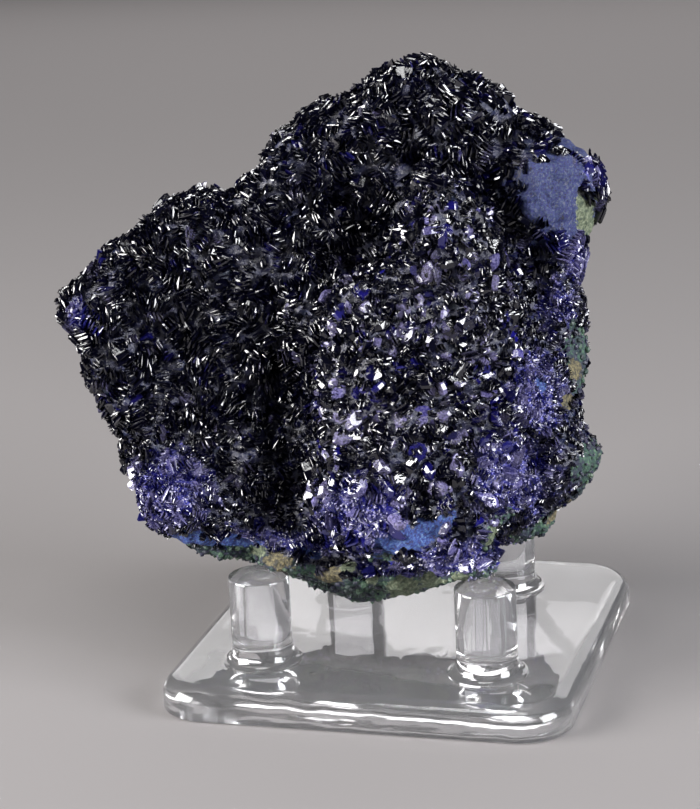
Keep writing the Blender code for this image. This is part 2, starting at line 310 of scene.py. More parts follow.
# single crystals of the face that stand out: u, v, length, width, turn in degrees and kind
standingOut = [
    (10.2, 107.7, 2.9, 1.8, 60, "bright"), (8.7, 113.1, 2.4, 1.4, 40, "frosted"),
    (-6.3, 116.9, 2.6, 1.5, 20, "frosted"), (13.4, 120.7, 2.2, 1.3, 70, "bright"),
    (-48.6, 86.6, 2.6, 1.6, 80, "bright"), (-49.7, 79.4, 3.2, 1.0, 65, "frosted"),
    (-70.3, 74.8, 2.4, 2.0, 20, "frosted"), (-68.2, 73.6, 2.0, 1.4, 70, "bright"),
    (-52.0, 65.0, 2.6, 0.8, 50, "bright"), (-30.0, 51.6, 2.6, 1.9, 60, "frosted"),
    (-22.2, 54.4, 3.4, 2.4, 80, "frosted"), (-37.0, 33.6, 1.8, 1.0, 10, "bright"),
    (-55.2, 56.5, 1.8, 0.9, 30, "bright"), (-25.5, 75.5, 2.4, 1.5, 75, "frosted"),
    (-20.5, 84.0, 2.2, 1.5, 35, "frosted"), (-10.8, 61.5, 2.4, 1.3, 55, "bright"),
    (-8.7, 66.7, 1.9, 1.5, 10, "bright"), (-12.1, 66.5, 1.9, 1.3, 80, "bright"),
    (14.3, 69.0, 1.5, 1.4, 0, "bright"), (11.1, 62.1, 2.0, 1.3, 30, "bright"),
    (-1.2, 45.6, 2.0, 1.5, 75, "bright"), (2.5, 36.0, 2.2, 1.2, 65, "bright"),
    (13.2, 42.8, 2.0, 1.3, 15, "bright"), (10.2, 43.0, 2.2, 1.7, 70, "frosted"),
    (21.4, 76.8, 1.4, 1.3, 0, "bright"), (1.8, 76.3, 4.0, 2.8, 70, "frosted"),
    (2.9, 51.2, 3.4, 2.3, 35, "frosted"), (-2.0, 51.5, 4.2, 3.0, 150, "frosted"),
    (-1.6, 70.3, 4.8, 3.0, 60, "frosted"), (15.0, 72.3, 4.8, 2.4, 140, "frosted"),
    (-8.5, 75.0, 3.8, 2.8, 75, "frosted"), (-9.3, 71.2, 3.4, 2.4, 85, "frosted"),
    (-16.4, 77.6, 3.6, 3.2, 20, "frosted"), (-14.9, 70.5, 5.4, 3.2, 130, "frosted"),
    (-15.3, 56.6, 5.2, 3.0, 50, "frosted"), (-17.7, 54.0, 4.0, 2.8, 80, "frosted"),
    (0.1, 80.4, 4.4, 2.8, 165, "frosted"), (0.6, 53.8, 2.6, 1.5, 40, "bright"),
    (-16.4, 37.0, 5.0, 4.0, 35, "frosted"), (10.0, 47.9, 3.4, 3.0, 60, "frosted"),
    (-13.8, 74.4, 4.6, 4.0, 0, "deep"), (2.1, 83.4, 3.0, 2.8, 0, "deep"),
    (4.4, 77.0, 4.2, 3.6, 70, "deep"), (9.4, 69.7, 4.8, 4.2, 20, "deep"),
    (-1.4, 61.5, 3.4, 3.0, 0, "deep"), (-6.3, 57.0, 4.2, 3.6, 10, "deep"),
    (1.8, 44.5, 4.8, 4.0, 40, "deep"), (8.7, 48.8, 4.0, 3.6, 0, "deep"),
    (5.0, 94.0, 3.2, 2.4, 30, "frosted"), (8.0, 90.0, 3.0, 2.0, 80, "frosted"),
    (12.0, 84.5, 2.8, 2.0, 110, "frosted"), (-3.0, 88.5, 2.6, 1.8, 60, "frosted"),
    (17.5, 56.0, 3.4, 2.4, 70, "frosted"), (16.4, 62.0, 3.0, 2.0, 20, "deep"),
    (-11.0, 48.0, 3.0, 2.2, 30, "frosted"), (-7.0, 40.5, 3.2, 2.0, 100, "frosted"),
    (6.0, 58.0, 3.0, 2.4, 0, "frosted"),
]


def onFace(points):
    return (np.asarray(points) / mm) @ facing


def wobble(points, size, shift=0.0):
    # smooth noise between -1 and 1 at each point
    return np.array([noise.noise(Vector(point) / size + Vector((shift, 0, 0))) for point in points])


def patchShare(name, spots, rough):
    # 1 well inside the patches of that name and 0 outside, with a ragged edge
    share = np.zeros(len(spots))
    for u, v, halfU, halfV, turn in patches[name]:
        c, s = math.cos(math.radians(turn)), math.sin(math.radians(turn))
        du, dv = spots[:, 0] - u, spots[:, 2] - v
        reach = np.hypot((c * du + s * dv) / halfU, (c * dv - s * du) / halfV)
        if name == "druse":
            edge = (1.15 - reach + 0.6 * rough) * 1.6
        else:
            edge = (1.1 - reach + 0.5 * rough) * 3.0
        share = np.maximum(share, np.clip(edge, 0, 1))
    return share


def inside(outline, spots):
    found = np.zeros(len(spots), bool)
    u, v = spots[:, 0], spots[:, 2]
    for (u0, v0), (u1, v1) in zip(outline, np.roll(outline, -1, axis=0)):
        if v0 == v1:
            continue
        crosses = (v0 > v) != (v1 > v)
        found ^= crosses & (u < u0 + (v - v0) * (u1 - u0) / (v1 - v0))
    return found


# the stone itself

stone = {
    "first skin": 1.1 * mm,
    "smoothing": 2,
    "drawn in": 0.25 * mm,
    "skin": 0.8 * mm,
    "lump size": 4.0 * mm,
    "lump height": 1.3 * mm,
    "grit size": 1.4 * mm,
    "grit height": 0.6 * mm,
    "peg room": 6.75 * mm,
    "crystal room": 6.9 * mm,
    "peg top": 26.6 * mm,
}
pegMiddles = np.array([(-24.7, -25.4), (24.7, -25.4), (-18.1, 24.4), (18.1, 24.4)]) * mm


def displacement(name, kind, size):
    texture = bpy.data.textures.new(name, kind)
    texture.noise_scale = size
    return texture


def keepClear(points, room, top):
    # out of the pegs and inside the stone's own box
    for middle in pegMiddles:
        away = points[:, :2] - middle
        reach = np.linalg.norm(away, axis=1)
        near = (reach < room) & (points[:, 2] < top)
        lift = near & (points[:, 2] > top - 2.5 * mm)
        points[lift, 2] = top
        push = near & ~lift
        points[push, :2] = middle + away[push] / reach[push][:, None] * room
    return np.clip(points, stoneBox[0] + 0.02 * mm, stoneBox[1] - 0.02 * mm)


def stoneSkin():
    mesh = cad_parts["specimen"].data.copy()
    piece = bpy.data.objects.new("stone_matrix", mesh)
    bpy.context.scene.collection.objects.link(piece)
    mesh.materials.clear()
    pick(piece)
    bpy.ops.object.mode_set(mode="EDIT")
    bpy.ops.mesh.select_all(action="SELECT")
    bpy.ops.mesh.remove_doubles(threshold=1e-6)
    bpy.ops.object.mode_set(mode="OBJECT")
    modify(piece, "REMESH", mode="VOXEL", voxel_size=stone["first skin"])
    modify(piece, "SMOOTH", factor=0.5, iterations=stone["smoothing"])
    modify(piece, "DISPLACE", strength=-stone["drawn in"], mid_level=0.0)
    modify(piece, "REMESH", mode="VOXEL", voxel_size=stone["skin"])
    lumps = displacement("stone lumps", "VORONOI", stone["lump size"])
    grit = displacement("stone grit", "CLOUDS", stone["grit size"])
    modify(piece, "DISPLACE", texture=lumps, strength=-stone["lump height"], mid_level=0.35)
    modify(piece, "DISPLACE", texture=grit, strength=stone["grit height"], mid_level=0.5)
    points = keepClear(readVectors(piece.data.vertices, "co"), stone["peg room"], stone["peg top"])
    piece.data.vertices.foreach_set("co", points.ravel())
    piece.data.update()
    return piece


skin = stoneSkin()
skinPoints = readVectors(skin.data.vertices, "co")
skinSpots = onFace(skinPoints)
raggedness = wobble(skinPoints, 2.2 * mm) + 0.5 * wobble(skinPoints, 0.9 * mm, 7.0)
behind = np.clip((skinSpots[:, 1] + 11.0 + 3.0 * raggedness) / 3.0, 0, 1)
lineAt = np.interp(skinSpots[:, 0], matrixLine[:, 0], matrixLine[:, 1])
belowLine = skinSpots[:, 2] < lineAt + 1.2 * raggedness
for name in patches:
    share = patchShare(name, skinSpots, raggedness) * (1 - behind)
    if name == "malachite":
        veins = wobble(skinPoints, 12.0 * mm, 3.0)
        share = np.maximum(share, np.maximum(behind * np.clip(veins * 5 + 1.3, 0, 1), belowLine * 0.8))
    if name == "ochre":
        stains = wobble(skinPoints, 13.0 * mm, 11.0) * 1.6 + wobble(skinPoints, 3.0 * mm, 5.0) * 1.1
        share = np.maximum(share, behind * np.clip(stains - 0.35, 0, 0.75))
    if name == "sage":
        stains = wobble(skinPoints, 11.0 * mm, 31.0) * 1.6 + wobble(skinPoints, 2.4 * mm, 9.0) * 1.2
        share = np.maximum(share, behind * np.clip(stains - 0.4, 0, 0.7))
    if name == "druse":
        share = np.maximum(share, behind * np.clip(wobble(skinPoints, 10.0 * mm, 23.0) * 4 - 0.6, 0, 1))
    addValues(skin.data, name, share)
sunk = patchShare("hole", skinSpots, raggedness) * (1 - behind)
skinPoints -= readVectors(skin.data.vertices, "normal") * sunk[:, None] * 1.8 * mm
skin.data.vertices.foreach_set("co", skinPoints.ravel())
skin.data.update()
print("stone skin", len(skin.data.polygons))


# templates of the crystals, each one unit in size


def bladeTemplate(sides, skew, edgeLength, chisel):
    # an upright plate, pointed at both ends when seen from above, that ends in a chisel
    deselectAll()
    bpy.ops.mesh.primitive_cylinder_add(
        vertices=sides, radius=0.5, depth=1.0, location=(0, 0, 0.5), rotation=(0, 0, math.radians(90))
    )
    piece = added("blade")
    settle(piece)
    selectParts(piece, "FACE", lambda middle, normal: normal.z > 0.9)
    bpy.ops.transform.translate(value=(0, 0, -chisel))
    bpy.ops.mesh.extrude_region_move(TRANSFORM_OT_translate={"value": (0, skew, chisel)})
    bpy.ops.transform.resize(value=(edgeLength, 0.15, 1.0))
    bpy.ops.mesh.select_all(action="DESELECT")
    selectParts(piece, "FACE", lambda middle, normal: normal.z < -0.9)
    bpy.ops.transform.resize(value=(0.7, 0.9, 1.0))
    bpy.ops.object.mode_set(mode="OBJECT")
    return piece


def tabletTemplate(sides, chamfer):
    # a thick rounded tablet that lies flat
    deselectAll()
    bpy.ops.mesh.primitive_cylinder_add(vertices=sides, radius=0.5, depth=1.0, location=(0, 0, 0.5))
    piece = added("tablet")
    selectParts(piece, "FACE", lambda middle, normal: normal.z > 0.9)
    bpy.ops.transform.translate(value=(0, 0, -0.22))
    bpy.ops.mesh.extrude_region_move(TRANSFORM_OT_translate={"value": (0, 0, 0.22)})
    bpy.ops.transform.resize(value=(chamfer, chamfer, 1.0))
    bpy.ops.mesh.select_all(action="SELECT")
    bpy.ops.transform.vertex_random(offset=0.035, seed=sides)
    bpy.ops.object.mode_set(mode="OBJECT")
    return piece


def leafTemplate(point, lift):
    # a plate that lies flat, pointed at both ends, its middle raised a little
    deselectAll()
    bpy.ops.mesh.primitive_cylinder_add(vertices=10, radius=0.5, depth=1.0, location=(0, 0, 0.5))
    piece = added("leaf")
    selectParts(piece, "VERT", lambda spot, normal: abs(spot.x) > 0.45)
    bpy.ops.transform.resize(value=(point, 0.4, 1.0))
    bpy.ops.object.mode_set(mode="OBJECT")
    selectParts(piece, "FACE", lambda middle, normal: normal.z > 0.9)
    bpy.ops.transform.translate(value=(0, 0, -lift))
    bpy.ops.mesh.extrude_region_move(TRANSFORM_OT_translate={"value": (0.03, 0, lift)})
    bpy.ops.transform.resize(value=(0.72, 0.62, 1.0))
    bpy.ops.mesh.select_all(action="SELECT")
    bpy.ops.transform.vertex_random(offset=0.045, seed=int(point * 10))
    bpy.ops.object.mode_set(mode="OBJECT")
    return piece


def grainTemplate():
    # a stubby pointed crystal of the fine druse
    deselectAll()
    bpy.ops.mesh.primitive_cone_add(vertices=4, radius1=0.5, radius2=0.3, depth=1.0, location=(0, 0, 0.5))
    return added("grain")


def lumpTemplate():
    # a knobbly bead of malachite
    deselectAll()
    bpy.ops.mesh.primitive_ico_sphere_add(subdivisions=1, radius=0.55, location=(0, 0, 0))
    piece = added("bead")
    modify(piece, "DISPLACE", texture=displacement("bead dents", "CLOUDS", 0.35), strength=0.3)
    return piece


def taken(piece):
    # the template's points and faces, and the template removed
    points = readVectors(piece.data.vertices, "co")
    faces = [tuple(face.vertices) for face in piece.data.polygons]
    bpy.data.objects.remove(piece)
    return points, faces


blades = [
    taken(bladeTemplate(sides, skew, edge, chisel))
    for sides, skew, edge, chisel in (
        (6, 0.0, 0.72, 0.11), (6, 0.22, 0.6, 0.08), (4, -0.22, 0.8, 0.1),
        (4, 0.1, 0.6, 0.14), (4, 0.25, 0.75, 0.07), (4, -0.1, 0.7, 0.12),
    )
]
tablets = [taken(tabletTemplate(sides, chamfer)) for sides, chamfer in ((8, 0.78), (7, 0.7), (9, 0.84))]
leaves = [taken(leafTemplate(point, lift)) for point, lift in ((1.1, 0.3), (1.25, 0.5), (1.0, 0.2))]
grains = [taken(grainTemplate())]
beads = [taken(lumpTemplate())]


# growing the crusts

def around(azimuth, elevation):
    a, e = math.radians(azimuth), math.radians(elevation)
    return Vector((math.sin(a) * math.cos(e), -math.cos(a) * math.cos(e), math.sin(e)))


# the camera that took the photograph, fitted to the stand
view = {
    "azimuth": 16.431, "elevation": 16.985, "roll": -3.039, "lens": 113.93,
    "back": 0.569506, "right": -0.012328, "up": 0.054753,
}
cameraBack = around(view["azimuth"], view["elevation"])
levelRight = Vector((math.cos(math.radians(view["azimuth"])), math.sin(math.radians(view["azimuth"])), 0))
levelUp = cameraBack.cross(levelRight)
roll = math.radians(view["roll"])
cameraRight = levelRight * math.cos(roll) + levelUp * math.sin(roll)
cameraUp = levelUp * math.cos(roll) - levelRight * math.sin(roll)
eye = cameraBack * view["back"] + cameraRight * view["right"] + cameraUp * view["up"]

skinMiddles = readVectors(skin.data.polygons, "center")
skinNormals = readVectors(skin.data.polygons, "normal")
skinAreas = np.zeros(len(skin.data.polygons))
skin.data.polygons.foreach_get("area", skinAreas)
middleSpots = onFace(skinMiddles)
middleRough = wobble(skinMiddles, 2.2 * mm) + 0.5 * wobble(skinMiddles, 0.9 * mm, 7.0)
middleShares = {name: patchShare(name, middleSpots, middleRough) for name in patches}
skinFaces = [tuple(face.vertices) for face in skin.data.polygons]
skinTree = BVHTree.FromPolygons([Vector(point) for point in skinPoints], skinFaces)

lineHere = np.interp(middleSpots[:, 0], matrixLine[:, 0], matrixLine[:, 1]) + 1.2 * middleRough
frontHere = middleSpots[:, 1] < -12.5 + 2.0 * middleRough
crystalGround = frontHere & (middleSpots[:, 2] > lineHere)
coloured = middleShares["velvet"] + middleShares["strip"] + middleShares["sage"] + middleShares["ochre"]
bare = (coloured + middleShares["malachite"] > 0.45) | (middleShares["hole"] > 0.3)
crystalGround &= ~bare
lobeGround = crystalGround & inside(lobeEdge, middleSpots)
leftGround = crystalGround & ~lobeGround & (middleSpots[:, 0] < -4) & (middleSpots[:, 2] < 98)
topGround = crystalGround & ~lobeGround & (middleSpots[:, 2] >= 84) & ~leftGround
footGround = leftGround & (middleSpots[:, 2] < 52 + 4 * middleRough)
rightGround = crystalGround & ~lobeGround & ~leftGround & ~topGround
leftGround &= ~footGround
druseGround = middleShares["druse"] ** 2


def scatter(ground, spacing, seed):
    # faces of the skin, drawn at random and no closer than the spacing; ground is how likely each is
    rng = np.random.default_rng(seed)
    faces = np.flatnonzero(np.asarray(ground) > 0)
    weight = skinAreas[faces] * np.asarray(ground, float)[faces]
    wanted = int(weight.sum() / spacing ** 2 * 6)
    drawn = rng.choice(faces, size=wanted, p=weight / weight.sum())
    points = skinMiddles[drawn] + rng.normal(0, 0.2 * mm, (wanted, 3))
    cells = {}
    kept = []
    for index, point in zip(drawn, points):
        key = tuple((point / spacing).astype(int))
        near = [
            other
            for a in (-1, 0, 1)
            for b in (-1, 0, 1)
            for c in (-1, 0, 1)
            for other in cells.get((key[0] + a, key[1] + b, key[2] + c), ())
        ]
        if any(((point - other) ** 2).sum() < spacing ** 2 for other in near):
            continue
        cells.setdefault(key, []).append(point)
        kept.append((Vector(point), Vector(skinNormals[index]), index))
    return kept


def tangent(normal, angle):
    side = normal.cross(Vector((0, 0, 1)))
    if side.length < 1e-3:
        side = Vector((1, 0, 0))
    side.normalize()
    return Matrix.Rotation(angle, 3, normal) @ side


def growFans(crust, ground):
    # stacks of blades that open like a fan, their direction drifting over the stone
    rng = random.Random(crust["seed"])
    grown = []
    for spot, normal, index in scatter(ground, crust["spacing"] * mm, crust["seed"]):
        swirl = noise.noise(spot / (crust["drift"] * mm)) * math.radians(520)
        swirl += rng.gauss(0, math.radians(crust["scatter"]))
        along = tangent(normal, swirl)
        lean = rng.uniform(0.8, 1.7) if rng.random() < crust["low"] else rng.gauss(0, crust["lean"])
        tip = normal + tangent(normal, rng.uniform(0, 6.28)) * lean
        tip.normalize()
        across = tip.cross(along).normalized()
        along = across.cross(tip)
        size = rng.uniform(*crust["size"])
        count = rng.randint(*crust["blades"])
        tone = rng.random()
        frost = float(rng.random() < crust["frosted"] + 0.5 * middleShares["druse"][index])
        for i in range(count):
            step = i - (count - 1) / 2
            middle = spot + across * (step * crust["pitch"] * size * mm)
            middle += along * rng.gauss(0, 0.18 * size * mm)
            near, _, _, gap = skinTree.find_nearest(middle)
            if near is None or gap > 2.0 * mm:
                continue
            lean = math.radians(step * crust["fan"] + rng.gauss(0, 4))
            out = tip * math.cos(lean) + across * math.sin(lean)
            side = across * math.cos(lean) - tip * math.sin(lean)
            turn = Matrix.Rotation(math.radians(rng.gauss(0, 7)), 3, out)
            length = size * rng.uniform(0.75, 1.15)
            height = size * rng.uniform(*crust["height"])
            thick = size * rng.uniform(*crust["thick"])
            base = near - out * (height * crust["sunk"] * mm)
            axes = (turn @ along * length, turn @ side * thick, out * height)
            mark = {
                "tone": tone * 0.6 + rng.random() * 0.4,
                "blue": middleShares["druse"][index],
                "frost": frost * rng.uniform(0.4, 1.0),
            }
            grown.append((base, axes, mark))
    return grown


def growTablets(crust, ground):
    # thick plates lying on the surface at all sorts of tilts
    rng = random.Random(crust["seed"])
    grown = []
    for spot, normal, index in scatter(ground, crust["spacing"] * mm, crust["seed"]):
        size = rng.uniform(*crust["size"])
        tip = normal + tangent(normal, rng.uniform(0, 6.28)) * abs(rng.gauss(0, crust["lean"]))
        tip.normalize()
        along = tangent(tip, rng.uniform(0, 6.28))
        across = tip.cross(along)
        wide = size * rng.uniform(0.6, 1.0)
        thick = size * rng.uniform(*crust["thick"])
        base = spot - tip * (thick * crust["sunk"] * mm)
        axes = (along * size, across * wide, tip * thick)
        frost = rng.uniform(0.4, 1.0) if rng.random() < crust["frosted"] else 0.0
        mark = {"tone": rng.random(), "blue": middleShares["druse"][index], "frost": frost}
        grown.append((base, axes, mark))
    return grown


def setByHand(kind, thick):
    # each is turned so that it shows its broad side or throws a light at the camera
    rng = random.Random(31)
    grown = []
    right, up = Vector(facing[:, 0]), Vector(facing[:, 2])
    for u, v, length, width, turn, sort in standingOut:
        if sort != kind:
            continue
        aimed = Vector(facing @ np.array((u, -25.0, v)) * mm)
        look = (aimed - eye).normalized()
        spot, normal, _, _ = skinTree.ray_cast(eye, look)
        if spot is None:
            continue
        lamp = around(*rng.choice(((-58, 15), (74, 17), (0, 70))))  # left, right or top light
        tip = {
            "bright": (lamp - look).normalized(),
            "frosted": lamp * 0.45 - look + normal * 0.4,
            "deep": normal * 0.6 - look,
        }[kind].normalized()
        tip = (tip + Vector([rng.gauss(0, 0.05) for _ in range(3)])).normalized()
        turned = right * math.cos(math.radians(turn)) + up * math.sin(math.radians(turn))
        across = tip.cross(turned).normalized()
        along = across.cross(tip)
        base = spot + normal * (0.5 * mm) - tip * (thick * 0.55 * mm)
        axes = (along * length, across * width, tip * thick)
        grown.append((base, axes, {"tone": rng.random(), "blue": 0.0, "frost": rng.uniform(0.5, 1.0)}))
    return grown


def joinCrust(name, grown, templates, finish, seed):
    # one mesh of all the crystals; what would leave the stone's box or touch a peg is left off
    rng = random.Random(seed)
    allPoints, allFaces = [], []
    marks = {"tone": [], "blue": [], "frost": []}
    start = 0
    for base, axes, mark in grown:
        points, faces = templates[rng.randrange(len(templates))]
        place = np.array([list(axis) for axis in axes]) * mm
        made = points @ place + np.array(base)
        if (made < stoneBox[0]).any() or (made > stoneBox[1]).any():
            continue
        if made[:, 2].min() < stone["peg top"]:
            reach = [np.linalg.norm(made[:, :2] - peg, axis=1).min() for peg in pegMiddles]
            if min(reach) < stone["crystal room"]:
                continue
        allPoints.append(made)
        allFaces += [tuple(start + corner for corner in face) for face in faces]
        for key, values in marks.items():
            values += [mark[key]] * len(points)
        start += len(points)
    mesh = bpy.data.meshes.new(name)
    mesh.from_pydata(np.concatenate(allPoints).tolist(), [], allFaces)
    for key, values in marks.items():
        addValues(mesh, key, values)
    mesh.materials.append(finish)
    piece = bpy.data.objects.new(name, mesh)
    bpy.context.scene.collection.objects.link(piece)
    mesh.update()
    triangles = sum(len(face) - 2 for face in allFaces)
    print(name, "crystals", len(allPoints), "triangles", triangles)
    return piece


# finishes of the stone

nearBlack = (0.0012, 0.0012, 0.0045)
indigo = (0.003, 0.0024, 0.03)
royal = (0.020, 0.020, 0.22)


def azuriteFinish(name, look):
    finish = Finish(name, {"IOR": 1.76})
    tone = finish.value("tone")
    frost = finish.value("frost")
    dark, middle = look["dark until"], (look["dark until"] + 1) / 2
    shades = [(0.0, nearBlack), (dark, nearBlack), (middle, indigo), (1.0, look["brightest"])]
    colour = finish.ramp(tone, shades)
    patch = finish.value("blue")
    colour = finish.mix((patch * look["blue"]).clamped(), colour, look["druse"])
    streaks = finish.noise(0.45 * mm, 3.0, 0.6)
    bloom = (frost * (patch * 0.6 + look["bloom"]) * (streaks * 3.4 - 1.1)).clamped()
    colour = finish.mix(bloom, colour, look["bloom colour"])
    rough = look["polish"] + frost * look["frost"] + streaks * 0.05
    normal = finish.bump(streaks, look["grain"] * mm, 0.5)
    return finish.feed(Base_Color=colour, Roughness=rough, Normal=normal)


def matrixFinish():
    finish = Finish("azurite and malachite matrix", {"IOR": 1.6})
    fine = finish.noise(0.7 * mm, 4.0, 0.65)
    broad = finish.noise(4.5 * mm, 3.0, 0.6)
    ground = finish.ramp(broad, [
        (0.3, nearBlack), (0.55, (0.003, 0.004, 0.03)), (0.75, (0.004, 0.012, 0.03)),
    ])
    druse = finish.ramp(fine, [(0.3, (0.004, 0.003, 0.06)), (0.55, royal), (0.75, (0.10, 0.10, 0.55))])
    nap = finish.noise(0.42 * mm, 5.0, 0.75, ((0, 0.75, 0), (1.0, 1.0, 4.0)))
    specks = finish.noise(0.6 * mm, 2.0, 0.7)
    velvet = finish.ramp(nap * 0.6 + specks * 0.4, [
        (0.41, (0.001, 0.002, 0.012)), (0.46, (0.004, 0.006, 0.1)), (0.495, (0.007, 0.015, 0.08)),
        (0.535, (0.013, 0.029, 0.078)), (0.59, (0.06, 0.06, 0.11)),
    ])
    strip = finish.ramp(nap * 0.5 + specks * 0.5, [
        (0.40, (0.002, 0.003, 0.03)), (0.46, (0.005, 0.014, 0.12)), (0.52, (0.010, 0.042, 0.2)),
        (0.61, (0.07, 0.13, 0.25)),
    ])
    green = finish.ramp(broad * 0.5 + fine * 0.5, [
        (0.40, (0.002, 0.003, 0.025)), (0.47, (0.005, 0.015, 0.026)), (0.54, (0.014, 0.05, 0.032)),
        (0.62, (0.055, 0.11, 0.065)), (0.74, (0.15, 0.2, 0.12)),
    ])
    sage = finish.ramp(fine, [
        (0.38, (0.022, 0.036, 0.018)), (0.5, (0.07, 0.09, 0.05)), (0.62, (0.15, 0.17, 0.11)),
    ])
    ochre = finish.ramp(fine, [
        (0.4, (0.012, 0.011, 0.006)), (0.5, (0.06, 0.05, 0.022)), (0.64, (0.15, 0.125, 0.06)),
    ])
    colour = finish.mix(finish.value("druse"), ground, druse)
    rock = finish.value("malachite")
    rockShare = ((rock - 0.35 + (fine - 0.5) * 0.9) * 4.0).clamped()
    colour = finish.mix(rockShare, colour, green)
    speckle = finish.noise(1.3 * mm, 5.0, 0.7)
    ochreShare = ((finish.value("ochre") - 0.4 + (speckle - 0.5) * 2.2) * 4.0).clamped()
    colour = finish.mix(ochreShare, colour, ochre)
    velvetShare = ((finish.value("velvet") - 0.4 + (fine - 0.5) * 0.5) * 5.0).clamped()
    colour = finish.mix(velvetShare, colour, velvet)
    sageShare = ((finish.value("sage") - 0.4 + (fine - 0.5) * 2.0) * 4.0).clamped()
    colour = finish.mix(sageShare, colour, sage)
    stripShare = ((finish.value("strip") - 0.4 + (fine - 0.5) * 1.2) * 4.0).clamped()
    colour = finish.mix(stripShare, colour, strip)
    # painted shade: the hole is coloured near-black for the shade inside it
    hole = finish.value("hole")
    colour = finish.mix((hole * 1.5).clamped(), colour, (0.001, 0.001, 0.003))
    earth = (rockShare + ochreShare + sageShare + velvetShare + stripShare).clamped()
    rough = 0.32 + earth * 0.45 + (fine - 0.5) * 0.2
    grit = finish.noise(0.45 * mm, 5.0, 0.7)
    pits = finish.cells(0.9 * mm)
    normal = finish.bump(grit * 0.7 + pits * 0.5, 0.35 * mm, 0.9)
    return finish.feed(Base_Color=colour, Roughness=rough, Normal=normal)


def beadFinish():
    finish = Finish("malachite beads", {"IOR": 1.65})
    tone = finish.value("tone")
    fine = finish.noise(0.5 * mm, 4.0, 0.6)
    colour = finish.ramp(tone * 0.6 + fine * 0.4, [
        (0.3, (0.002, 0.003, 0.025)), (0.44, (0.002, 0.007, 0.016)), (0.58, (0.006, 0.026, 0.017)),
        (0.72, (0.022, 0.06, 0.032)), (0.86, (0.075, 0.105, 0.06)),
    ])
    normal = finish.bump(fine, 0.2 * mm, 0.8)
    return finish.feed(Base_Color=colour, Roughness=0.35 + fine * 0.4, Normal=normal)


skin.data.materials.append(matrixFinish())
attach(skin, "root")
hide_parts("specimen")

leftField = {
    "spacing": 1.95, "drift": 20.0, "scatter": 18, "lean": 0.45, "low": 0.3, "size": (1.3, 3.4),
    "blades": (4, 9), "frosted": 0.03, "pitch": 0.23, "fan": 8.0, "height": (0.65, 1.0),
    "thick": (0.13, 0.21), "sunk": 0.35, "seed": 11,
}
footField = {
    "spacing": 1.35, "drift": 14.0, "scatter": 26, "lean": 0.5, "low": 0.35, "size": (0.8, 2.0),
    "blades": (3, 7), "frosted": 0.03, "pitch": 0.27, "fan": 9.0, "height": (0.75, 1.1),
    "thick": (0.13, 0.22), "sunk": 0.35, "seed": 19,
}
topCrust = {
    "spacing": 2.0, "drift": 15.0, "scatter": 24, "lean": 0.45, "low": 0.3, "size": (1.3, 3.4),
    "blades": (4, 8), "frosted": 0.03, "pitch": 0.24, "fan": 9.0, "height": (0.65, 0.95),
    "thick": (0.13, 0.21), "sunk": 0.38, "seed": 12,
}
rightCrust = {
    "spacing": 1.25, "drift": 12.0, "scatter": 30, "lean": 0.5, "low": 0.4, "size": (0.8, 1.8),
    "blades": (3, 6), "frosted": 0.2, "pitch": 0.27, "fan": 9.0, "height": (0.7, 1.0),
    "thick": (0.14, 0.24), "sunk": 0.35, "seed": 13,
}
lobeFine = {
    "spacing": 1.4, "drift": 9.0, "scatter": 40, "lean": 0.5, "low": 0.45, "size": (0.8, 2.1),
    "blades": (2, 5), "frosted": 0.05, "pitch": 0.3, "fan": 11.0, "height": (0.7, 1.1),
    "thick": (0.13, 0.24), "sunk": 0.35, "seed": 14,
}
loosePlates = {
    "spacing": 4.6, "drift": 9.0, "scatter": 60, "lean": 0.8, "low": 0.6, "size": (2.4, 4.0),
    "blades": (1, 3), "frosted": 0.25, "pitch": 0.2, "fan": 9.0, "height": (0.6, 0.9),
    "thick": (0.08, 0.14), "sunk": 0.2, "seed": 18,
}
lobeTablets = {
    "spacing": 2.6, "lean": 0.7, "size": (2.4, 4.8), "thick": (0.25, 0.45), "sunk": 0.4,
    "frosted": 0.34, "seed": 15,
}
druseGrains = {
    "spacing": 0.56, "lean": 0.6, "size": (0.35, 0.85), "thick": (0.9, 1.6), "sunk": 0.2,
    "frosted": 0.8, "seed": 16,
}
backDruse = {
    "spacing": 0.95, "lean": 0.6, "size": (0.8, 1.4), "thick": (0.9, 1.4), "sunk": 0.3, "frosted": 0.6,
    "seed": 20,
}
greenBeads = {
    "spacing": 1.15, "lean": 0.6, "size": (0.7, 1.7), "thick": (0.6, 0.9), "sunk": 0.1, "frosted": 0.0,
    "seed": 17,
}

lilac = (0.17, 0.155, 0.30)
darkAzurite = azuriteFinish("dark azurite blades", {
    "dark until": 0.8, "brightest": (0.004, 0.004, 0.06), "blue": 0.3, "druse": royal, "polish": 0.05,
    "frost": 0.2, "bloom": 0.3, "bloom colour": lilac, "grain": 0.05,
})
lobeAzurite = azuriteFinish("azurite tablets", {
    "dark until": 0.6, "brightest": (0.006, 0.005, 0.10), "blue": 0.3, "druse": royal, "polish": 0.07,
    "frost": 0.26, "bloom": 0.75, "bloom colour": (0.19, 0.17, 0.35), "grain": 0.10,
})
deepAzurite = azuriteFinish("deep blue azurite", {
    "dark until": 0.0, "brightest": (0.004, 0.003, 0.085), "blue": 0.0, "druse": royal, "polish": 0.16,
    "frost": 0.1, "bloom": 0.0, "bloom colour": lilac, "grain": 0.06,
})
blueAzurite = azuriteFinish("royal blue druse", {
    "dark until": 0.3, "brightest": royal, "blue": 0.5, "druse": (0.022, 0.024, 0.2), "polish": 0.12,
    "frost": 0.25, "bloom": 1.0, "bloom colour": (0.38, 0.36, 0.54), "grain": 0.06,
})

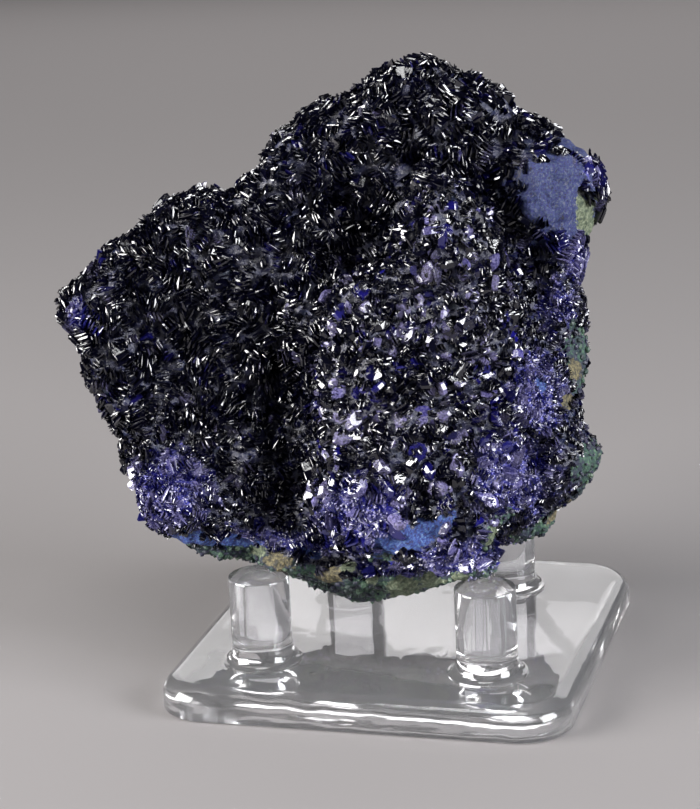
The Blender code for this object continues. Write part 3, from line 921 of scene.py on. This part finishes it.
for name, crust, ground, finish in (
    ("crust_left", leftField, leftGround, darkAzurite),
    ("crust_foot", footField, footGround, darkAzurite),
    ("crust_top", topCrust, topGround, darkAzurite),
    ("crust_right", rightCrust, rightGround, darkAzurite),
    ("crust_lobe_fine", lobeFine, lobeGround, darkAzurite),
    ("loose_plates", loosePlates, crystalGround & (middleSpots[:, 0] < 22), darkAzurite),
):
    grown = growFans(crust, ground)
    piece = joinCrust(name, grown, blades, finish, crust["seed"])
    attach(piece, "root")

for kind, thick, finish in (
    ("bright", 0.7, darkAzurite),
    ("frosted", 1.6, lobeAzurite),
    ("deep", 1.6, deepAzurite),
):
    shapes = tablets if kind == "deep" else leaves
    piece = joinCrust("crystals_" + kind, setByHand(kind, thick), shapes, finish, 7)
    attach(piece, "root")

frontBand = middleSpots[:, 1] < -8
backPatches = (middleSpots[:, 1] >= -10) & (wobble(skinMiddles, 10.0 * mm, 23.0) > 0.22)
greenGround = (middleSpots[:, 2] < lineHere) & frontBand | (middleShares["malachite"] > 0.6)
greenGround |= (middleSpots[:, 1] >= -10) & (wobble(skinMiddles, 7.0 * mm, 41.0) > 0.25)
greenGround &= coloured < 0.3
for name, crust, ground, templates, finish in (
    ("crust_lobe_tablets", lobeTablets, lobeGround, leaves, lobeAzurite),
    ("blue_druse", druseGrains, druseGround * (frontBand & ~bare), grains, blueAzurite),
    ("back_druse", backDruse, backPatches, grains, blueAzurite),
    ("malachite_beads", greenBeads, greenGround, beads, beadFinish()),
):
    grown = growTablets(crust, ground)
    piece = joinCrust(name, grown, templates, finish, crust["seed"])
    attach(piece, "root")
print("crusts grown")


# the clear stand

stand = {
    "side": 88.9 * mm,
    "thick": 7.15 * mm,
    "corner": 11.0 * mm,
    "edge": 4.15 * mm,
    "peg radius": 6.5 * mm,
    "peg top": 26.45 * mm,
    "top bevel": 0.5 * mm,
    "foot radius": 8.5 * mm,
    "foot height": 4.1 * mm,
}


def clearPlate():
    deselectAll()
    bpy.ops.mesh.primitive_cube_add(size=1.0, location=(0, 0, stand["thick"] / 2))
    piece = added("clear_stand")
    bpy.ops.transform.resize(value=(stand["side"], stand["side"], stand["thick"]))
    settle(piece)
    selectParts(piece, "EDGE", lambda middle, way: abs(way.z) > 0.9)
    bpy.ops.mesh.bevel(offset=stand["corner"], segments=16, affect="EDGES")
    upper = stand["thick"] * 0.99
    selectParts(piece, "EDGE", lambda middle, way: middle.z > upper)
    bpy.ops.mesh.bevel(offset=stand["edge"], segments=10, affect="EDGES")
    lower = stand["thick"] * 0.01
    selectParts(piece, "EDGE", lambda middle, way: middle.z < lower)
    bpy.ops.mesh.bevel(offset=0.35 * mm, segments=3, affect="EDGES")
    bpy.ops.object.mode_set(mode="OBJECT")
    return piece


def clearPeg(middle):
    # a rod with a small ring of set cement round a concave foot, its lower end sunk in the plate
    deselectAll()
    x, y = middle
    low = stand["thick"] - 1.0 * mm
    bpy.ops.mesh.primitive_cylinder_add(
        vertices=64, radius=stand["foot radius"], depth=1.0 * mm, location=(x, y, low + 0.5 * mm)
    )
    piece = added("clear_peg")
    settle(piece)
    flare = stand["foot radius"] - stand["peg radius"]
    radius = stand["foot radius"]
    height = stand["thick"]
    steps = [(stand["foot radius"], 0.45 * mm)]
    for i in range(1, 9):
        angle = math.radians(90 * i / 8)
        rise = (stand["foot height"] - 0.45 * mm) * (1 - math.cos(angle))
        steps.append((stand["foot radius"] - flare * math.sin(angle), 0.45 * mm + rise))
    rod, bevel = stand["peg radius"], stand["top bevel"]
    steps.append((rod, stand["peg top"] - bevel - stand["thick"]))
    steps.append((rod - bevel * 0.3, stand["peg top"] - 0.15 * mm - stand["thick"]))
    steps.append((rod - bevel, stand["peg top"] - stand["thick"]))
    top = height - 0.01 * mm
    selectParts(piece, "FACE", lambda centre, normal: normal.z > 0.9 and centre.z > top)
    for newRadius, newHeight in steps:
        rise = stand["thick"] + newHeight - height
        scale = newRadius / radius
        bpy.ops.mesh.extrude_region_move(TRANSFORM_OT_translate={"value": (0, 0, rise)})
        bpy.ops.transform.resize(value=(scale, scale, 1.0), center_override=(x, y, 0))
        radius, height = newRadius, stand["thick"] + newHeight
    bpy.ops.object.mode_set(mode="OBJECT")
    return piece


def clearStand():
    plate = clearPlate()
    for middle in pegMiddles:
        peg = clearPeg(middle)
        modify(plate, "BOOLEAN", operation="UNION", object=peg, solver="EXACT")
        bpy.data.objects.remove(peg)
    pick(plate)
    bpy.ops.object.shade_smooth_by_angle(angle=math.radians(32))
    # the rounded rim is rougher than the faces
    points = readVectors(plate.data.vertices, "co")
    flat = stand["side"] / 2 - stand["edge"] + 0.1 * mm
    outward = np.abs(points[:, :2]).max(axis=1) > flat
    away = np.abs(points[:, :2]) - (stand["side"] / 2 - stand["corner"])
    corner = (away > 0).all(axis=1)
    outward |= corner & (np.linalg.norm(away, axis=1) > stand["corner"] - stand["edge"] + 0.1 * mm)
    outward &= (points[:, 2] > 0.1 * mm) & (points[:, 2] < stand["thick"] + 0.1 * mm)
    addValues(plate.data, "rim", outward.astype(float))
    return plate


def acrylicFinish():
    finish = Finish("clear acrylic", {
        "Base Color": (0.97, 0.97, 0.99, 1.0), "Transmission Weight": 0.96, "IOR": 1.49, "Roughness": 0.0,
    })
    waves = finish.noise(9.0 * mm, 1.0, 0.4)
    scuffs = finish.noise(0.8 * mm, 3.0, 0.6, ((0, 0, 0.6), (1.0, 8.0, 1.0)))
    ripples = finish.noise(1.5 * mm, 2.0, 0.5, ((0, 0, 0), (6.0, 6.0, 1.0)))
    rim = finish.value("rim")
    rough = ((scuffs - 0.62) * 1.2).clamped() * 0.25 + 0.004 + rim * 0.11
    normal = finish.bump(waves + ripples * rim * 0.5, 0.35 * mm, 0.35)
    return finish.feed(Roughness=rough, Normal=normal)


clear = clearStand()
clear.data.materials.clear()
clear.data.materials.append(acrylicFinish())
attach(clear, "root")
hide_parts("stand_plate", "peg_front_left", "peg_front_right", "peg_back_left", "peg_back_right")
print("stand made", len(clear.data.polygons))


# floor, light and camera

studio = {
    "floor colour": (0.21, 0.20, 0.20),
    "world": (0.018, 0.018, 0.02),
    # name: azimuth, elevation, distance, width, height, radiance, colour
    "lights": {
        "left box": (-57, 16, 0.95, 0.66, 0.5, 27.0, (1.0, 0.98, 0.96)),
        "right box": (74, 17, 0.95, 0.56, 0.5, 24.0, (0.96, 0.97, 1.0)),
        "top box": (0, 70, 1.0, 0.5, 0.32, 8.0, (1.0, 1.0, 1.0)),
        "back box": (188, 20, 1.1, 1.4, 0.55, 2.2, (1.0, 0.98, 0.98)),
    },
}


def aim(holder, place, target):
    holder.location = place
    holder.rotation_mode = "QUATERNION"
    holder.rotation_quaternion = (Vector(target) - Vector(place)).to_track_quat("-Z", "Y")


def studioFloor():
    deselectAll()
    bpy.ops.mesh.primitive_plane_add(size=14.0, location=(0, 0, -0.0002))
    floor = added("studio_floor")
    finish = Finish("pale floor", {"Roughness": 0.9, "Specular IOR Level": 0.05})
    speck = finish.noise(0.3, 2.0)
    tint = finish.mix(speck * 0.1, studio["floor colour"], (0.28, 0.27, 0.27))
    floor.data.materials.append(finish.feed(Base_Color=tint))


def softLights():
    target = Vector((0, 0, 0.06))
    for name, (azimuth, elevation, distance, width, height, radiance, colour) in studio["lights"].items():
        data = bpy.data.lights.new(name, "AREA")
        data.shape = "RECTANGLE"
        data.size, data.size_y = width, height
        data.energy = radiance * math.pi * width * height
        data.color = colour
        lamp = bpy.data.objects.new(name, data)
        bpy.context.scene.collection.objects.link(lamp)
        aim(lamp, target + around(azimuth, elevation) * distance, target)
    world = bpy.data.worlds.new("dim studio")
    world.use_nodes = True
    world.node_tree.nodes["Background"].inputs["Color"].default_value = (*studio["world"], 1.0)
    bpy.context.scene.world = world


def photoCamera():
    data = bpy.data.cameras.new("photo camera")
    data.lens = view["lens"]
    data.sensor_width = 36.0
    data.clip_start = 0.01
    camera = bpy.data.objects.new("photo camera", data)
    bpy.context.scene.collection.objects.link(camera)
    axes = Matrix((cameraRight, cameraUp, cameraBack)).transposed().to_4x4()
    camera.matrix_world = Matrix.Translation(eye) @ axes
    bpy.context.scene.camera = camera


studioFloor()
softLights()
photoCamera()
bpy.context.scene.view_settings.view_transform = "Standard"
bpy.context.view_layer.update()
print("studio ready")
